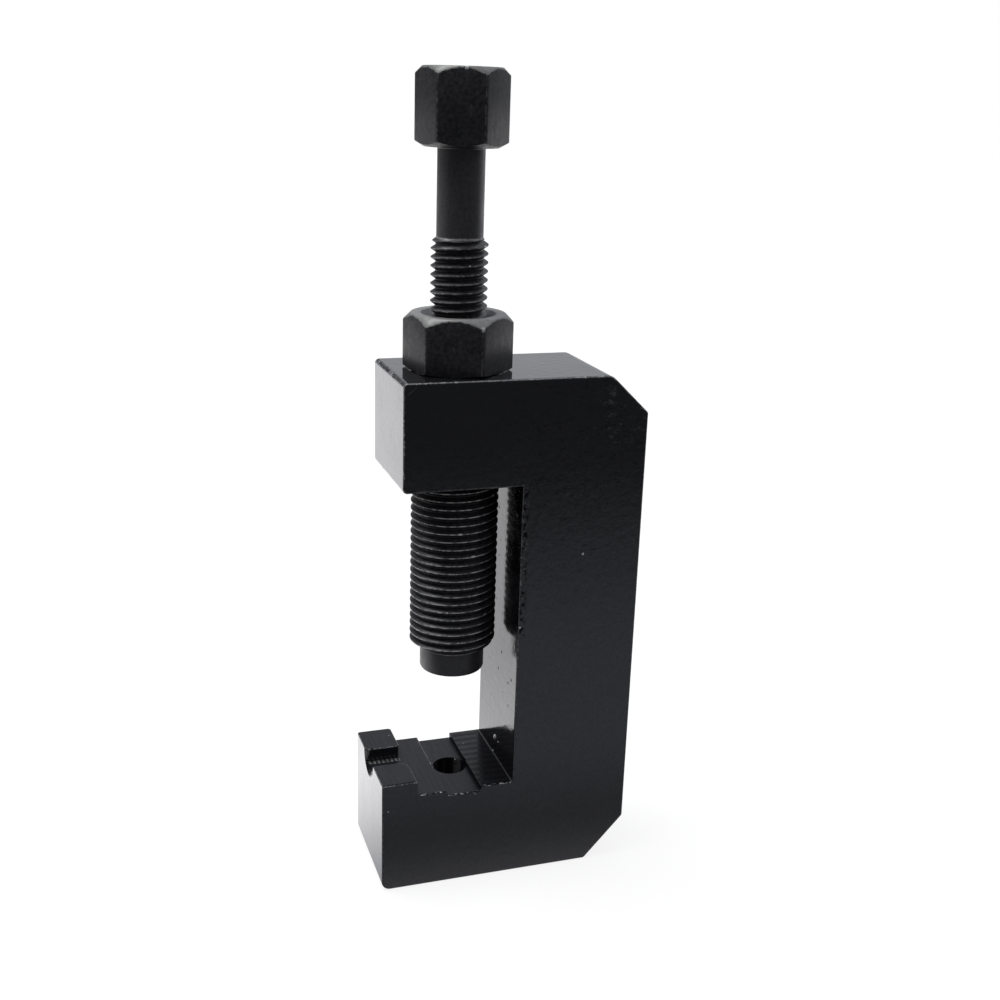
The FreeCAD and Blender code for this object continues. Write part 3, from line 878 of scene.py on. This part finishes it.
def make_oxide(name, screw, wear_and_painted_light):
    """Satin black oxide on a screw, worn paler at head bevels, corners and crests, with painted highlights on
    crests and under the bevel.
    """
    made, tree, shader = material(name)
    link = tree.links.new
    here = surface_of(tree)
    out = distance(tree, here.across, here.deep)
    radius = screw["thread"]
    root = radius - THREAD_DEPTH
    grain = noise(tree, here.place, 2600.0, 4.0, 0.65)
    mottle = noise(tree, here.place, 1500.0, 4.0, 0.7)
    ragged = noise(tree, here.place, 1100.0, 5.0, 0.7)
    streaks = noise(tree, here.place, 1500.0, 4.0, 0.6, (1.0, 1.0, 0.4))
    head, worn, lip_highlight, nick = head_wear_and_highlight(tree, here, out, screw, wear_and_painted_light, ragged)
    crests = thread_wear_and_highlight(tree, here, out, screw, wear_and_painted_light, ragged)
    scrapes = both(tree, head, span(tree, streaks, 0.64, 0.72, 0.0, 0.5))
    nibs = both(tree, specks(tree, here.place, 400.0, 0.75, 0.46 * MM),
                band(tree, out, radius - 0.12 * MM, radius + 0.02 * MM, 0.02 * MM))
    turned = both(tree, span(tree, out, root - 0.03 * MM, root, 1.0, 0.0),
                  span(tree, grain, 0.3, 0.7, 0.4, 1.0))

    tone = colours(tree, span(tree, mottle, 0.35, 0.65), OXIDE_DARK, OXIDE_LIGHT)
    tone = colours(tree, turned, tone, OXIDE_TURNED)
    # Pale crests: partly worn metal, partly painted highlight.
    tone = colours(tree, crests, tone, OXIDE_CREST_WEAR_AND_HIGHLIGHT)
    worn_tone = (wear_and_painted_light["bevel_tone"], wear_and_painted_light["bevel_tone"], wear_and_painted_light["bevel_tone"] * 0.98)
    tone = colours(tree, either(tree, worn, scrapes), tone, worn_tone)
    # A painted highlight along the edge just below the bevel.
    tone = colours(tree, lip_highlight, tone, OXIDE_LIP_HIGHLIGHT)
    tone = colours(tree, maths(tree, "MULTIPLY", nick, 0.65), tone, OXIDE_NICK)
    link(colours(tree, nibs, tone, OXIDE_NIB), shader.inputs["Base Color"])
    shader.inputs["IOR"].default_value = 1.45
    link(span(tree, streaks, 0.3, 0.7, 0.30, 0.44), shader.inputs["Roughness"])
    relief = bump(tree, grain, 0.012 * MM)
    relief = bump(tree, either(tree, scrapes, nibs), 0.02 * MM, under=relief)
    link(relief, shader.inputs["Normal"])
    return made


def make_bright(name, colour, rough):
    """Bare ground or drawn steel."""
    made, tree, shader = material(name)
    lines = noise(tree, surface_of(tree).place, 900.0, 3.0, 0.6, (1.0, 1.0, 6.0))
    shader.inputs["Base Color"].default_value = (*colour, 1.0)
    shader.inputs["Metallic"].default_value = 1.0
    tree.links.new(span(tree, lines, 0.3, 0.7, rough - 0.06, rough + 0.08), shader.inputs["Roughness"])
    tree.links.new(bump(tree, lines, 0.004 * MM), shader.inputs["Normal"])
    return made


def make_bead():
    """Bright beads of bare metal."""
    made, tree, shader = material("bright_bead")
    link = tree.links.new
    spots = noise(tree, surface_of(tree).place, 4000.0, 3.0)
    tone = colours(tree, span(tree, spots, 0.35, 0.6), BEAD_DULL, BEAD_BRIGHT)
    shader.inputs["Metallic"].default_value = 0.4
    link(tone, shader.inputs["Base Color"])
    link(span(tree, spots, 0.3, 0.7, 0.2, 0.4), shader.inputs["Roughness"])
    link(bump(tree, spots, 0.02 * MM), shader.inputs["Normal"])
    return made


# The stage: a pale floor, a studio world, one lamp and the camera

def make_floor():
    """A floor that is white to the camera around the object, and a lit table where the gloss mirrors it."""
    data = bpy.data.meshes.new("floor")
    corners = [
        (-FLOOR_REACH, -FLOOR_REACH, 0.0),
        (FLOOR_REACH, -FLOOR_REACH, 0.0),
        (FLOOR_REACH, FLOOR_REACH, 0.0),
        (-FLOOR_REACH, FLOOR_REACH, 0.0),
    ]
    data.from_pydata(corners, [], [(0, 1, 2, 3)])
    floor = new_object("floor", data)
    made = bpy.data.materials.new("pale_floor")
    made.use_nodes = True
    tree = made.node_tree
    tree.nodes.clear()
    link = tree.links.new
    here = surface_of(tree)
    rays = tree.nodes.new("ShaderNodeLightPath")

    # As seen: paper that takes the shadow, with a glow that makes it white further out.
    paper = tree.nodes.new("ShaderNodeBsdfDiffuse")
    paper.inputs["Color"].default_value = (*FLOOR_PAPER, 1.0)
    glow = tree.nodes.new("ShaderNodeEmission")
    paleness = span(tree, distance(tree, here.across, here.deep), 0.3, 1.2, 0.845, 1.0)
    link(maths(tree, "MULTIPLY", rays.outputs["Is Camera Ray"], paleness), glow.inputs["Strength"])
    seen = tree.nodes.new("ShaderNodeAddShader")
    link(paper.outputs[0], seen.inputs[0])
    link(glow.outputs[0], seen.inputs[1])

    # As mirrored: dim in front of the object, dark beneath it, bright behind it and dimmer further back.
    near = span(tree, here.deep, -0.30, -0.08, 0.08, 0.32)
    close = span(tree, here.deep, -0.06, -0.02, 0.0, -0.12)
    behind = span(tree, here.deep, -0.03, 0.04, 0.0, 1.16)
    further = span(tree, here.deep, 0.03, 0.10, 0.0, -0.30)
    sideways = span(tree, here.across, -0.25, -0.12, 0.65, 1.0)
    tint = colours(tree, span(tree, here.deep, -0.05, 0.02), FLOOR_MIRRORED_NEAR, FLOOR_MIRRORED_FAR)
    mirrored = tree.nodes.new("ShaderNodeEmission")
    link(both(tree, total(tree, near, close, behind, further), sideways), mirrored.inputs["Strength"])
    link(tint, mirrored.inputs["Color"])

    mixed = tree.nodes.new("ShaderNodeMixShader")
    link(rays.outputs["Is Glossy Ray"], mixed.inputs[0])
    link(seen.outputs[0], mixed.inputs[1])
    link(mirrored.outputs[0], mixed.inputs[2])
    end = tree.nodes.new("ShaderNodeOutputMaterial")
    link(mixed.outputs[0], end.inputs["Surface"])
    floor.data.materials.append(made)


def make_world():
    """White to the camera; to the object a soft room, dimmer behind the camera."""
    world = bpy.data.worlds.new("studio")
    bpy.context.scene.world = world
    world.use_nodes = True
    tree = world.node_tree
    tree.nodes.clear()
    link = tree.links.new
    toward = tree.nodes.new("ShaderNodeSeparateXYZ")
    link(tree.nodes.new("ShaderNodeTexCoord").outputs["Generated"], toward.inputs[0])
    across, deep, up = toward.outputs
    front = both(tree, span(tree, deep, -0.7, 0.5, 0.10, 0.46), span(tree, across, -0.25, 0.25, 0.25, 1.0))
    left = span(tree, across, -1.0, 0.2, 0.06, 0.0)
    above = span(tree, up, 0.3, 0.95, 0.0, 0.44)
    right = both(tree, span(tree, across, 0.40, 0.75, 0.0, 0.7), span(tree, up, 0.30, 0.60))
    to_camera = tree.nodes.new("ShaderNodeLightPath").outputs["Is Camera Ray"]
    background = tree.nodes.new("ShaderNodeBackground")
    link(colours(tree, to_camera, WORLD_LIGHT, WORLD_SEEN), background.inputs["Color"])
    link(blend(tree, to_camera, total(tree, front, left, above, right), 1.0), background.inputs["Strength"])
    end = tree.nodes.new("ShaderNodeOutputWorld")
    link(background.outputs[0], end.inputs["Surface"])


def make_lamp():
    """A soft round lamp above and behind the object."""
    data = bpy.data.lights.new("overhead_lamp", "AREA")
    data.shape = "DISK"
    data.size = LAMP_WIDTH
    data.energy = LAMP_POWER
    lamp = new_object("overhead_lamp", data)
    lamp.location = LAMP_PLACE
    aimed = Vector(LAMP_AIM) - Vector(LAMP_PLACE)
    lamp.rotation_euler = aimed.to_track_quat("-Z", "Y").to_euler()


def make_camera():
    """The camera at the photograph's viewing angle."""
    data = bpy.data.cameras.new("camera")
    data.sensor_width = CAMERA_SENSOR
    data.lens = CAMERA_LENS
    data.clip_start = 0.01
    camera = new_object("camera", data)
    camera.location = CAMERA_PLACE
    camera.rotation_euler = [math.radians(turn) for turn in CAMERA_TURN]
    bpy.context.scene.camera = camera


def dress(piece, finish):
    """Give a piece this material alone."""
    piece.data.materials.clear()
    piece.data.materials.append(finish)


make_camera()
make_floor()
make_world()
make_lamp()

paint = make_paint()
main_oxide = make_oxide("black_oxide_steel", MAIN, MAIN_WEAR_AND_PAINTED_LIGHT)
push_oxide = make_oxide("black_oxide_push_screw", PUSH, PUSH_WEAR_AND_PAINTED_LIGHT)
pin_steel = make_bright("hardened_pin_steel", PIN_STEEL, 0.28)
wire_steel = make_bright("spring_steel", SPRING_STEEL, 0.34)

dress(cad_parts["frame"], paint)
dress(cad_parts["extractor_pin"], pin_steel)
dress(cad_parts["main_screw"], main_oxide)
dress(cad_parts["push_screw"], push_oxide)
dress(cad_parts["return_spring"], wire_steel)

main_screw = make_main_screw()
dress(main_screw, main_oxide)
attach(main_screw, "main_screw")
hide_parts("main_screw")

push_screw = make_push_screw()
dress(push_screw, push_oxide)
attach(push_screw, "push_screw")
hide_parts("push_screw")

nibs = make_nibs()
dress(nibs, make_bead())
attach(nibs, "frame")

spring = make_spring()
dress(spring, wire_steel)
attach(spring, "return_spring")
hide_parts("return_spring")
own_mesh(spring)

bpy.context.scene.view_settings.view_transform = "Standard"
